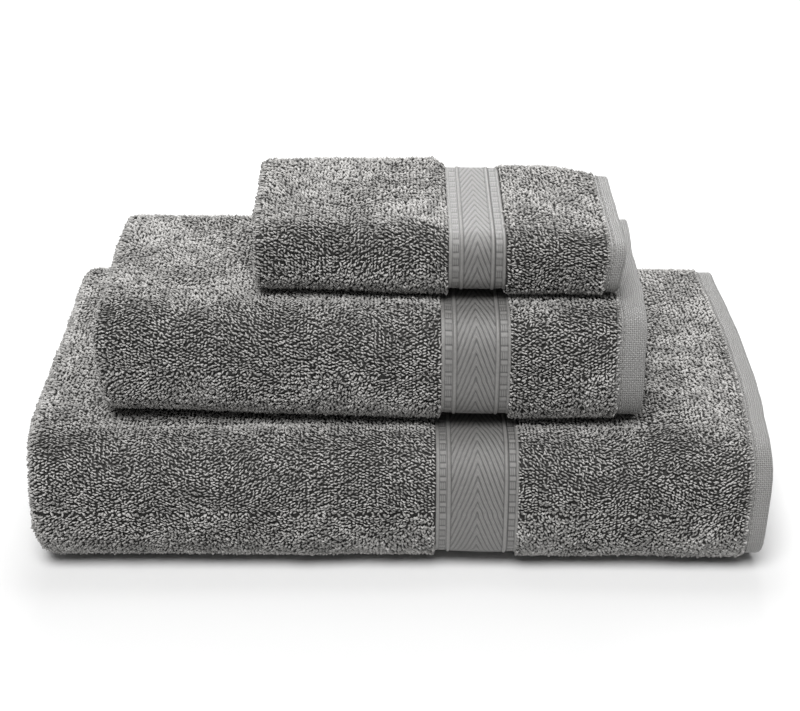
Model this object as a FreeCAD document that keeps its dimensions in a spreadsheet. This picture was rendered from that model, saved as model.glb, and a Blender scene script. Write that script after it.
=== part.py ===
import FreeCAD, Part
import math
import os

import Sketcher

# A stack of three folded terry towels: bath towel, hand towel and washcloth, each lying on the one below.
# Millimetres. X runs along the folded width, with the hemmed ends at +X and the closed folds at -X.
# Y runs from the rounded front folds (-Y) to the backs, Z is up. The origin is on the floor, under the
# middle of the bath towel.
#
# A towel is folded across its length until it is one bundle wide, then its width is quartered: the outer
# ply runs from the back along the bottom, round the front, over the top and round the upper back fold,
# and the free side hems of all the plies lie in the lower half of the back. The outer ply is woven in
# strips: terry field, flat dobby border with two raised cords, terry header, and a flat rolled hem.

TOWELS = ("bath", "hand", "wash")

# Driving dimensions in millimetres, apart from the counts of plies.
SIZES = {
    "towel_gap": 0.3,
    "edge_gap": 0.2,
    "hem_rounding": 1.0,
    "thread_width": 0.6,
    "thread_rise": 0.3,
    "border_recess": 1.4,
    "hem_recess": 1.6,
    "cord_width": 1.8,
    "cord_rise": 0.7,
    "end_setback": 2.5,
    "right_rounding": 3.0,
    "bath_width": 339.0,
    "bath_depth": 208.0,
    "bath_height": 64.3,
    "bath_plies": 16,
    "bath_centre_x": 0.0,
    "bath_centre_y": 0.0,
    "bath_border_start": 187.0,
    "bath_border_width": 38.0,
    "bath_hem_width": 9.0,
    "bath_cord_inset": 5.0,
    "hand_width": 251.0,
    "hand_depth": 127.8,
    "hand_height": 55.0,
    "hand_plies": 12,
    "hand_centre_x": -13.6,
    "hand_centre_y": -15.4,
    "hand_border_start": 158.8,
    "hand_border_width": 31.5,
    "hand_hem_width": 12.0,
    "hand_cord_inset": 5.2,
    "wash_width": 167.6,
    "wash_depth": 92.9,
    "wash_height": 33.4,
    "wash_plies": 8,
    "wash_centre_x": 17.2,
    "wash_centre_y": -10.6,
    "wash_border_start": 89.7,
    "wash_border_width": 26.0,
    "wash_hem_width": 7.0,
    "wash_cord_inset": 5.0,
}
FRONT_ROUNDING = "0.4"  # front corner radius, as a share of a towel's height
BACK_ROUNDING = "0.25"  # back fold radius: half the plies turn round it
END_ROUNDING = "0.22"  # rounding of the closed fold at the left end

START, END, CENTRE = 1, 2, 3  # Sketcher's names for the points of a line or arc
ORIGIN = (-1, 1)  # a sketch's own origin, as a geometry and its point
X_AXIS, Y_AXIS = -1, -2  # a sketch's own axes
NEAR = 1e-4  # how close two coordinates are when they are the same


def make_sheet(doc):
    """The spreadsheet of driving dimensions: a name, its value and an alias in each row."""
    sheet = doc.addObject("Spreadsheet::Sheet", "Sizes")
    for row, (name, value) in enumerate(SIZES.items(), start=1):
        sheet.set(f"A{row}", name)
        sheet.set(f"B{row}", str(value))
        sheet.setAlias(f"B{row}", name)
    doc.recompute()
    return sheet


class Towel:
    """One towel's sizes and places, as formulas on the spreadsheet for setExpression."""

    def __init__(self, doc, sheet, name):
        self.doc, self.sheet, self.name = doc, sheet, name
        cell = f"Sizes.{name}_"
        self.width, self.depth, self.height = cell + "width", cell + "depth", cell + "height"
        self.plies = cell + "plies"
        self.ply = f"({self.height} / {self.plies})"
        self.front_radius = f"({self.height} * {FRONT_ROUNDING})"
        self.back_radius = f"({self.height} * {BACK_ROUNDING})"
        self.end_radius = f"({self.height} * {END_ROUNDING})"
        self.left = f"(-{self.width} / 2)"
        self.right = f"({self.width} / 2)"
        self.fold_end = f"({self.left} + {self.end_radius})"
        self.border_start = f"({self.left} + {cell}border_start)"
        self.border_end = f"({self.border_start} + {cell}border_width)"
        self.hem_start = f"({self.right} - {cell}hem_width)"
        self.cord_inset = cell + "cord_inset"
        below = TOWELS[: TOWELS.index(name)]
        self.base = f"{len(below)} * Sizes.towel_gap" + "".join(f" + Sizes.{t}_height" for t in below)
        self.centre_x, self.centre_y = cell + "centre_x", cell + "centre_y"

    def value(self, formula):
        """The number that a formula on the sheet gives."""
        return float(self.sheet.evalExpression(formula.replace("Sizes.", "")))

    def label(self, piece):
        stem = "washcloth" if self.name == "wash" else f"{self.name}_towel"
        return f"{stem}_{piece}"

    def place(self, item):
        """Puts a piece drawn in the towel's own frame (front fold at Y 0, bottom at Z 0) into the stack."""
        item.setExpression("Placement.Base.x", self.centre_x)
        item.setExpression("Placement.Base.y", f"{self.centre_y} - {self.depth} / 2")
        item.setExpression("Placement.Base.z", self.base)


def add_arc(sketch, centre, radius, start_deg, end_deg):
    circle = Part.Circle(FreeCAD.Vector(*centre, 0), FreeCAD.Vector(0, 0, 1), radius)
    return sketch.addGeometry(Part.ArcOfCircle(circle, math.radians(start_deg), math.radians(end_deg)), False)


def add_line(sketch, start, end):
    return sketch.addGeometry(Part.LineSegment(FreeCAD.Vector(*start, 0), FreeCAD.Vector(*end, 0)), False)


def dimension(sketch, name, kind, places, value, formula):
    """A named driving dimension, bound to the sheet."""
    index = sketch.addConstraint(Sketcher.Constraint(kind, *places, value))
    sketch.renameConstraint(index, name)
    sketch.setExpression(f"Constraints.{name}", formula)


def relate(sketch, kind, *places):
    sketch.addConstraint(Sketcher.Constraint(kind, *places))


def fold_path(sketch, towel, inset):
    """The outer ply's path at an inset from its outside, from the back along the bottom, round the front,
    along the top and round the upper back fold. Returns its pieces: line, arc, line, arc, line, arc."""
    depth, height = towel.value(towel.depth), towel.value(towel.height)
    front, back = towel.value(towel.front_radius), towel.value(towel.back_radius)
    turn_y = depth - back
    bottom = add_line(sketch, (turn_y, inset), (front, inset))
    low_arc = add_arc(sketch, (front, front), front - inset, 180, 270)
    face = add_line(sketch, (inset, front), (inset, height - front))
    high_arc = add_arc(sketch, (front, height - front), front - inset, 90, 180)
    top = add_line(sketch, (front, height - inset), (turn_y, height - inset))
    back_arc = add_arc(sketch, (turn_y, height - back), back - inset, -90, 90)
    relate(sketch, "Tangent", bottom, END, low_arc, END)
    relate(sketch, "Tangent", low_arc, START, face, START)
    relate(sketch, "Tangent", face, END, high_arc, END)
    relate(sketch, "Tangent", high_arc, START, top, START)
    relate(sketch, "Tangent", top, END, back_arc, END)
    relate(sketch, "Horizontal", bottom)
    relate(sketch, "Vertical", face)
    relate(sketch, "Horizontal", top)
    relate(sketch, "Vertical", back_arc, START, back_arc, CENTRE)
    relate(sketch, "Vertical", bottom, START, back_arc, CENTRE)
    return bottom, low_arc, face, high_arc, top, back_arc


def size_path(sketch, towel, path, inset, mark):
    """Drives a fold path's size and place from the sheet."""
    bottom, low_arc, face, high_arc, top, back_arc = path
    values = {
        "inset_bottom": ("DistanceY", (*ORIGIN, bottom, START), inset),
        "inset_front": ("DistanceX", (*ORIGIN, face, START), inset),
        "front_turn": ("DistanceX", (*ORIGIN, low_arc, CENTRE), towel.front_radius),
        "inset_top": ("DistanceY", (*ORIGIN, top, START), f"({towel.height} - {inset})"),
        "back_turn": ("DistanceX", (*ORIGIN, back_arc, CENTRE), f"({towel.depth} - {towel.back_radius})"),
        "back_radius": ("Radius", (back_arc,), f"({towel.back_radius} - {inset})"),
    }
    for name, (kind, places, formula) in values.items():
        if kind != "Radius" and towel.value(formula) == 0:
            relate(sketch, "PointOnObject", *places[2:], X_AXIS if kind == "DistanceY" else Y_AXIS)
        else:
            dimension(sketch, f"{mark}_{name}", kind, places, towel.value(formula), formula)
    relate(sketch, "Equal", low_arc, high_arc)


def new_body(towel, piece):
    body = towel.doc.addObject("PartDesign::Body", towel.label(piece))
    body.Label = towel.label(piece)
    return body


def new_sketch(towel, body, start):
    """An empty sketch square to X, at the given X."""
    sketch = body.newObject("Sketcher::SketchObject", body.Name + "_outline")
    planes = {f.Role: f for f in body.Origin.OriginFeatures}
    sketch.AttachmentSupport = (planes["YZ_Plane"], [""])
    sketch.MapMode = "FlatFace"
    sketch.setExpression("AttachmentOffset.Base.z", start)
    return sketch


def pad_along_x(body, sketch, start, end):
    """The sketch's shape carried from one X to another."""
    pad = body.newObject("PartDesign::Pad", body.Name + "_pad")
    pad.Profile = sketch
    pad.setExpression("Length", f"{end} - {start}")


def wrap(towel, piece, start, end, inset, wall):
    """A strip of the outer ply from one X to another: a C of even wall round the bundle."""
    body = new_body(towel, piece)
    sketch = new_sketch(towel, body, start)
    inner_inset = f"({inset} + {wall})"
    outer = fold_path(sketch, towel, towel.value(inset))
    inner = fold_path(sketch, towel, towel.value(inner_inset))
    for path, depth, mark in ((outer, inset, "outside"), (inner, inner_inset, "inside")):
        size_path(sketch, towel, path, depth, mark)
    depth, height = towel.value(towel.depth), towel.value(towel.height)
    turn_y = depth - towel.value(towel.back_radius)
    low, high = towel.value(inset), towel.value(inner_inset)
    hem_end = add_line(sketch, (turn_y, low), (turn_y, high))
    fold_end = add_line(sketch, (turn_y, height / 2 + low), (turn_y, height / 2 + high))
    relate(sketch, "Coincident", hem_end, START, outer[0], START)
    relate(sketch, "Coincident", hem_end, END, inner[0], START)
    relate(sketch, "Coincident", fold_end, START, outer[-1], START)
    relate(sketch, "Coincident", fold_end, END, inner[-1], START)
    pad_along_x(body, sketch, start, end)
    return body


def core(towel, piece, start, end, inset):
    """The bundle inside a wrap of the given depth: its outline is the fold path closed down the back."""
    body = new_body(towel, piece)
    sketch = new_sketch(towel, body, start)
    path = fold_path(sketch, towel, towel.value(inset))
    size_path(sketch, towel, path, inset, "outside")
    turn_y = towel.value(towel.depth) - towel.value(towel.back_radius)
    low = towel.value(inset)
    back = add_line(sketch, (turn_y, towel.value(towel.height) / 2 + low), (turn_y, low))
    relate(sketch, "Coincident", back, START, path[-1], START)
    relate(sketch, "Coincident", back, END, path[0], START)
    pad_along_x(body, sketch, start, end)
    return body


def rim_names(shape, x):
    """The names of a solid's edges that lie in the plane of the given X."""
    names = []
    for number, edge in enumerate(shape.Edges, start=1):
        if all(abs(vertex.X - x) < NEAR for vertex in edge.Vertexes):
            names.append(f"Edge{number}")
    return names


def round_end(towel, body, at_x, radius):
    """Rounds the rim of a padded piece's end face."""
    towel.doc.recompute()
    pad = body.Tip
    fillet = body.newObject("PartDesign::Fillet", body.Name + "_rounding")
    fillet.Base = (pad, rim_names(pad.Shape, towel.value(at_x)))
    fillet.setExpression("Radius", radius)


def left_fold(towel):
    """The closed left end, where the outer ply turns back under itself: a slab with a rounded rim."""
    body = new_body(towel, "left_fold")
    sketch = new_sketch(towel, body, towel.left)
    depth, height = towel.value(towel.depth), towel.value(towel.height)
    front, back = towel.value(towel.front_radius), towel.value(towel.back_radius)
    bottom = add_line(sketch, (depth - back, 0), (front, 0))
    low_front = add_arc(sketch, (front, front), front, 180, 270)
    face = add_line(sketch, (0, front), (0, height - front))
    high_front = add_arc(sketch, (front, height - front), front, 90, 180)
    top = add_line(sketch, (front, height), (depth - back, height))
    high_back = add_arc(sketch, (depth - back, height - back), back, 0, 90)
    rear = add_line(sketch, (depth, height - back), (depth, back))
    low_back = add_arc(sketch, (depth - back, back), back, 270, 360)
    for first, first_end, second, second_end in (
        (bottom, END, low_front, END),
        (low_front, START, face, START),
        (face, END, high_front, END),
        (high_front, START, top, START),
        (top, END, high_back, END),
        (high_back, START, rear, START),
        (rear, END, low_back, END),
        (low_back, START, bottom, START),
    ):
        relate(sketch, "Tangent", first, first_end, second, second_end)
    for line in (bottom, top):
        relate(sketch, "Horizontal", line)
    for line in (face, rear):
        relate(sketch, "Vertical", line)
    relate(sketch, "PointOnObject", bottom, START, X_AXIS)
    relate(sketch, "PointOnObject", face, START, Y_AXIS)
    relate(sketch, "Equal", low_front, high_front)
    relate(sketch, "Equal", low_back, high_back)
    dimension(sketch, "front_radius", "Radius", (low_front,), front, towel.front_radius)
    dimension(sketch, "back_radius", "Radius", (low_back,), back, towel.back_radius)
    dimension(sketch, "height", "DistanceY", (*ORIGIN, top, START), height, towel.height)
    dimension(sketch, "depth", "DistanceX", (*ORIGIN, rear, START), depth, towel.depth)
    pad_along_x(body, sketch, towel.left, towel.fold_end)
    round_end(towel, body, towel.left, f"{towel.end_radius} * 0.95")
    return body


def right_fold(towel, inset):
    """The rounded right end of the plies that have no hem there, set back a little from the hems."""
    end = f"({towel.right} - Sizes.end_setback)"
    body = core(towel, "right_fold", towel.hem_start, end, inset)
    round_end(towel, body, end, "Sizes.right_rounding")
    return body


def group(towel, piece, members):
    """Separate solids of one kind as one node."""
    node = towel.doc.addObject("Part::Compound", towel.label(piece))
    node.Label = towel.label(piece)
    node.Links = members
    return node


def border_cords(towel):
    """The two raised cords that edge the middle panel of the dobby border."""
    starts = (
        f"({towel.border_start} + {towel.cord_inset})",
        f"({towel.border_end} - {towel.cord_inset} - Sizes.cord_width)",
    )
    rise_from = "(Sizes.border_recess - Sizes.cord_rise)"
    cords = []
    for number, start in enumerate(starts, start=1):
        end = f"({start} + Sizes.cord_width)"
        cords.append(wrap(towel, f"border_cord_{number}", start, end, rise_from, "Sizes.cord_rise"))
    return group(towel, "border_cords", cords)


def rear_edges(shape):
    """The numbers of a box's two long edges along X at its rear."""
    numbers = []
    for number, edge in enumerate(shape.Edges, start=1):
        at_rear = all(abs(vertex.Y - shape.BoundBox.YMax) < NEAR for vertex in edge.Vertexes)
        if at_rear and edge.BoundBox.XLength > NEAR:
            numbers.append(number)
    return numbers


def side_hems(towel):
    """The free side edges of the plies in the lower half of the back: one thin rounded slab each."""
    slabs = []
    radius = towel.value("Sizes.hem_rounding")
    for number in range(int(towel.value(towel.plies)) // 2):
        stagger = f"{1 + number % 2} * Sizes.hem_rounding"
        slab = towel.doc.addObject("Part::Box", towel.label(f"side_edge_{number + 1}"))
        slab.setExpression("Length", f"{towel.right} - {towel.fold_end}")
        slab.setExpression("Height", f"{towel.ply} - Sizes.edge_gap")
        slab.setExpression("Width", f"{towel.back_radius} - {stagger}")
        slab.setExpression("Placement.Base.x", towel.fold_end)
        slab.setExpression("Placement.Base.y", f"{towel.depth} - {towel.back_radius}")
        slab.setExpression("Placement.Base.z", f"{number} * {towel.ply}")
        towel.doc.recompute()
        rounded = towel.doc.addObject("Part::Fillet", slab.Name + "_rounded")
        rounded.Base = slab
        rounded.Edges = [(number, radius, radius) for number in rear_edges(slab.Shape)]
        slabs.append(rounded)
    return group(towel, "side_hems", slabs)


def hem_thread(towel):
    """The line of stitching that holds the rolled end hem down."""
    start = f"({towel.hem_start} + 2 * Sizes.thread_width)"
    rise_from = "(Sizes.hem_recess - Sizes.thread_rise)"
    return wrap(towel, "hem_thread", start, f"({start} + Sizes.thread_width)", rise_from, "Sizes.thread_rise")


def make_towel(towel):
    """All the pieces of one folded towel, placed in the stack."""
    flush = "(0 * Sizes.towel_gap)"
    border_wall = f"({towel.ply} - Sizes.border_recess)"
    hem_wall = f"({towel.ply} - Sizes.hem_recess)"
    pieces = [
        left_fold(towel),
        wrap(towel, "field", towel.fold_end, towel.border_start, flush, towel.ply),
        wrap(towel, "dobby_border", towel.border_start, towel.border_end, "Sizes.border_recess", border_wall),
        border_cords(towel),
        wrap(towel, "header", towel.border_end, towel.hem_start, flush, towel.ply),
        wrap(towel, "end_hem", towel.hem_start, towel.right, "Sizes.hem_recess", hem_wall),
        hem_thread(towel),
        core(towel, "inner_plies", towel.fold_end, towel.hem_start, towel.ply),
        side_hems(towel),
    ]
    second_hem_end = f"({towel.right} - Sizes.end_setback / 2)"
    if towel.name == "bath":
        pieces.append(wrap(towel, "second_end_hem", towel.hem_start, second_hem_end, towel.ply, towel.ply))
        pieces.append(right_fold(towel, f"(2 * {towel.ply})"))
    elif towel.name == "hand":
        pieces.append(right_fold(towel, towel.ply))
    else:
        pieces.append(core(towel, "second_end_hem", towel.hem_start, second_hem_end, towel.ply))
    for piece in pieces:
        towel.place(piece)
    return pieces


def check(doc, pieces):
    """Stops if a feature failed or a piece has no sound shape."""
    failed = [item.Name for item in doc.Objects if {"Invalid", "Error"} & set(item.State)]
    failed += [p.Label for p in pieces if p.Shape.isNull() or not p.Shape.isValid() or p.Shape.Volume <= 0]
    if failed:
        raise SystemExit(f"these did not build: {failed}")


def main():
    doc = FreeCAD.newDocument("folded_towels")
    sheet = make_sheet(doc)
    pieces = []
    for name in TOWELS:
        pieces += make_towel(Towel(doc, sheet, name))
    doc.recompute()
    check(doc, pieces)
    os.makedirs("parts", exist_ok=True)
    for piece in pieces:
        piece.Shape.exportStep(f"parts/{piece.Label}.step")
        box = piece.Shape.BoundBox
        print(f"{piece.Label:28s} {piece.Shape.Volume / 1000:9.2f} cm3  X {box.XMin:7.1f} {box.XMax:7.1f}"
              f"  Y {box.YMin:7.1f} {box.YMax:7.1f}  Z {box.ZMin:6.2f} {box.ZMax:6.2f}")


main()
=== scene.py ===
import math

import bpy
import numpy as np
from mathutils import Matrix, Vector


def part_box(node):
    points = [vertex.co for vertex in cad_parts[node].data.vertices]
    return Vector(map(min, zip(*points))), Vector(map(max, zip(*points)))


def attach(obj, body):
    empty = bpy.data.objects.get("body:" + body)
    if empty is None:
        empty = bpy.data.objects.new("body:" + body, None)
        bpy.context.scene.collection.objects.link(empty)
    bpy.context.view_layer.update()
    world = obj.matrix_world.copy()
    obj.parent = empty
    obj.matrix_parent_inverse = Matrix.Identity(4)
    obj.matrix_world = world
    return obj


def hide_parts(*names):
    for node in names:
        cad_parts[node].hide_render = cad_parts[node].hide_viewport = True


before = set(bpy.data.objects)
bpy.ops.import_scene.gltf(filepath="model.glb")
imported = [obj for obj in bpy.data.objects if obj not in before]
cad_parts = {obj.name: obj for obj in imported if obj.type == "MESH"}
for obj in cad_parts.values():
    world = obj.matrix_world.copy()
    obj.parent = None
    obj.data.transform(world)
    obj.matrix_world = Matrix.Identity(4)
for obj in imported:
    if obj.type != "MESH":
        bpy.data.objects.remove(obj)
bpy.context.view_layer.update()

# A bath towel, a hand towel and a washcloth, folded and stacked. Metres, +X towards the hemmed ends, -Y to
# the rounded front folds, +Z up. Each towel is one sheet of cloth carried through its real folds. Its terry
# loops, woven border, rolled hems and stitches are pieces on that sheet, placed through the same folds.

MM = 0.001
NOISE_LATTICE = 61  # cells after which the noise repeats

# A folded width is seven legs: bottom, front turn, top, back turn, and the inner hairpin's three.
LEGS = 7
FRONT_TURN, MID_TOP, HAIRPIN = 1.0, 2.5, 4.0  # path places: two legs' starts, and the middle of the top
LEG_STEPS = 80  # steps a leg in the tables that turn lengths into path places
BULLNOSE_TOP, BULLNOSE_BOTTOM = 3.3, 2.7  # superellipse exponents of the front folds, above and below
FREE_EDGE_INSET = 2 * MM  # how far the free long edges stand in from the back
FREE_EDGE_WANDER = 2.2 * MM  # and this much more, give or take as much
RIGHT_FOLD_INSET = 2.5 * MM  # how far the right folds stand in from the hem's outer edge
SECOND_HEM_INSET = 1.2 * MM  # and the second hem's outer edge
FLAT = 0.4 * MM  # loops nearer than this to what the towel rests on are pressed together

# How a folded towel settles
LEFT_END, RIGHT_END = 0.14, 0.8  # shares of the length where the left end stops and the right end starts
BORDER_DRAW = 2.0 * MM  # how far the border draws up under the front fold
TUCK = 2.6 * MM  # how far the ends tuck in at the base
SKEW_DROP = 0.35  # how much of the skew is up and down
PRESS_FADE = 9 * MM  # how far from the towel above its press fades out

# Cloth and terry
HALF_PLY = 0.44  # a ply's two piles and ground fill this much of its pitch on each side of its middle
PILE = 1.6 * MM  # how far the ground cloth lies below the tips of its loops
PILE_UNDER = 7 * MM  # how far the loops run on underneath from the front fold
GROUND_UNDER_BORDER, GROUND_UNDER_HEM = 0.7 * MM, 0.4 * MM  # how much lower the ground lies there
HEM_THINNING = 0.26  # by which share the cloth is thinner in its hems
EDGE_ROUNDING = 1.4 * MM  # how far in from its edges the sheet is rounded
LOOP_PITCH = 1.58 * MM
PITCH_ACROSS = LOOP_PITCH * 0.95
YARN = 0.44 * MM  # radius of a loop's three-sided yarn
SPAN, SPAN_SPREAD = 1.2, 0.22  # a loop's length in mm, and its standard deviation
RISE, RISE_SPREAD = 0.8, 0.17  # a loop's height, as shares of PILE
LEAST_LEAN, MORE_LEAN = 0.45, 0.35  # how far a loop leans in mm, and what chance adds to that
EDGE_LEAN = 0.6  # the most in mm that a loop leans over the edge beside it
LOOP_JITTER = 0.12  # a loop's standard deviation from its lattice, as a share of the pitch
EDGE_CLEAR = 0.1 * MM  # the least from a loop's middle to the border
LOOPS_IN_PIECE = 10500

# Hems and stitches
SIDE_HEM = 11 * MM
HEM_THICKNESS = 1.9 * MM
HEM_TUCK = 1.4 * MM  # how far the rolled hem runs in under the terry
HEM_LINE, HEM_LINE_WIDTH, HEM_LINE_DEPTH = 1.6 * MM, 0.45 * MM, 0.16 * MM  # the line pressed in near its edge
STITCH_PITCH = 3.2 * MM
STITCH_LINE = 1.7 * MM  # how far the row of stitches lies in from the hem's inner edge
STITCH_RISE, THREAD = 0.22 * MM, 0.2 * MM

# Woven border
CHEVRON_PITCH = 6.0 * MM
CHEVRON_SLOPE = 2.7  # how far the ribs run along the path for each step off the middle
TWILL_PITCH, TWILL_SLOPE = 0.95 * MM, 1.1
BLOCK_PITCH = 6.2 * MM
BLOCK_RIB = 0.92 * MM
CORD_WIDTH, CORD_RISE = 1.8 * MM, 0.75 * MM
EDGE_CORD_WIDTH, EDGE_CORD_RISE = 1.3 * MM, 0.45 * MM
LEFT_MARGIN, RIGHT_MARGIN = 1.6 * MM, 1.5 * MM  # plain edges beside the strips of blocks
GROOVE = 0.22 * MM  # half the width of a groove
BORDER_GRID = (0.33 * MM, 0.62 * MM)  # between points across the border, and along its path
BORDER_ROWS_UNDER = 30
BORDER_THICKNESS = 0.9 * MM


# ---------------- numbers

def smooth_noise(x, y, cell, seed):
    """Value noise from -1 to 1: random heights on a square lattice, joined by a smooth cubic step."""
    table = np.random.default_rng(seed).uniform(-1, 1, (NOISE_LATTICE, NOISE_LATTICE))
    column, row = np.floor(x / cell).astype(int), np.floor(y / cell).astype(int)
    across, up = x / cell - column, y / cell - row
    across, up = across**2 * (3 - 2 * across), up**2 * (3 - 2 * up)

    def corner(right, above):
        return table[(column + right) % NOISE_LATTICE, (row + above) % NOISE_LATTICE]

    low = corner(0, 0) * (1 - across) + corner(1, 0) * across
    high = corner(0, 1) * (1 - across) + corner(1, 1) * across
    return low * (1 - up) + high * up


def step(x, start, end):
    """A smooth step: 0 before start, 1 after end, a cubic between."""
    part = np.clip((x - start) / (end - start), 0, 1)
    return part**2 * (3 - 2 * part)


def running_length(x, y):
    """Length so far along a line of points, from 0 at the first."""
    return np.concatenate([[0], np.cumsum(np.hypot(np.diff(x), np.diff(y)))])


# ---------------- meshes

def make_mesh(name, points, face_sets, materials, slots=None, uv=None, marks=None):
    """A smooth mesh object from arrays of points and of faces with the same number of corners each.
    slots is a material number for each face, uv a place in the cloth for each point, and marks is
    named numbers for each point."""
    mesh = bpy.data.meshes.new(name)
    corners = np.concatenate([faces.ravel() for faces in face_sets]).astype(np.int32)
    sizes = np.concatenate([np.full(len(faces), faces.shape[1]) for faces in face_sets])
    starts = np.concatenate([[0], np.cumsum(sizes)[:-1]]).astype(np.int32)
    mesh.vertices.add(len(points))
    mesh.vertices.foreach_set("co", np.ascontiguousarray(points, np.float32).ravel())
    mesh.loops.add(len(corners))
    mesh.loops.foreach_set("vertex_index", corners)
    mesh.polygons.add(len(sizes))
    mesh.polygons.foreach_set("loop_start", starts)
    if slots is not None:
        mesh.polygons.foreach_set("material_index", np.asarray(slots, np.int32))
    if uv is not None:
        layer = mesh.uv_layers.new(name="cloth")
        layer.uv.foreach_set("vector", np.asarray(uv, np.float32)[corners].ravel())
    for mark, values in (marks or {}).items():
        attribute = mesh.attributes.new(mark, "FLOAT", "POINT")
        attribute.data.foreach_set("value", np.asarray(values, np.float32).ravel())
    for material in materials:
        mesh.materials.append(material)
    mesh.update(calc_edges=True)
    mesh.validate()
    mesh.shade_smooth()
    piece = bpy.data.objects.new(name, mesh)
    bpy.context.scene.collection.objects.link(piece)
    return piece


def outward(points, face_sets):
    """The face sets, turned round if the closed shape that they make has a negative volume."""
    volume = 0.0
    for faces in face_sets:
        first = points[faces[:, 0]]
        for k in range(1, faces.shape[1] - 1):
            turn = np.cross(points[faces[:, k]], points[faces[:, k + 1]])
            volume += float((first * turn).sum())
    return face_sets if volume > 0 else [faces[:, ::-1] for faces in face_sets]


def grid_faces(rows, columns, wrap=False):
    """Quads between neighbours of a grid of points numbered row by row, its columns closed if wrapped."""
    number = np.arange(rows * columns).reshape(rows, columns)
    if wrap:
        number = np.concatenate([number, number[:, :1]], axis=1)
    quads = np.stack([number[:-1, :-1], number[1:, :-1], number[1:, 1:], number[:-1, 1:]], axis=-1)
    return quads.reshape(-1, 4)


def slab(front, back):
    """A closed sheet from two grids of points, its two faces, joined round their rim by quads."""
    rows, columns = front.shape[:2]
    faces = grid_faces(rows, columns)
    number = np.arange(rows * columns).reshape(rows, columns)
    rim = np.concatenate([number[0, :-1], number[:-1, -1], number[-1, :0:-1], number[:0:-1, 0]])
    after = np.roll(rim, -1)
    below = rows * columns
    sides = np.stack([rim, after, after + below, rim + below], axis=-1)
    points = np.concatenate([front.reshape(-1, 3), back.reshape(-1, 3)])
    return points, outward(points, [np.concatenate([faces, faces[:, ::-1] + below, sides])])


def swept(rings):
    """A closed tube through rings of points, with a fan about the middle of each end ring as its cap."""
    count, around = rings.shape[:2]
    faces = grid_faces(count, around, wrap=True)
    points = np.concatenate([rings.reshape(-1, 3), rings[[0, -1]].mean(axis=1)])
    ring = np.arange(around)
    first = np.stack([ring, np.roll(ring, -1), np.full(around, count * around)], axis=-1)
    last = first[:, ::-1] + (count - 1) * around
    last[:, 0] = count * around + 1
    return points, outward(points, [faces, np.concatenate([first, last])])


# ---------------- a folded towel

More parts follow.
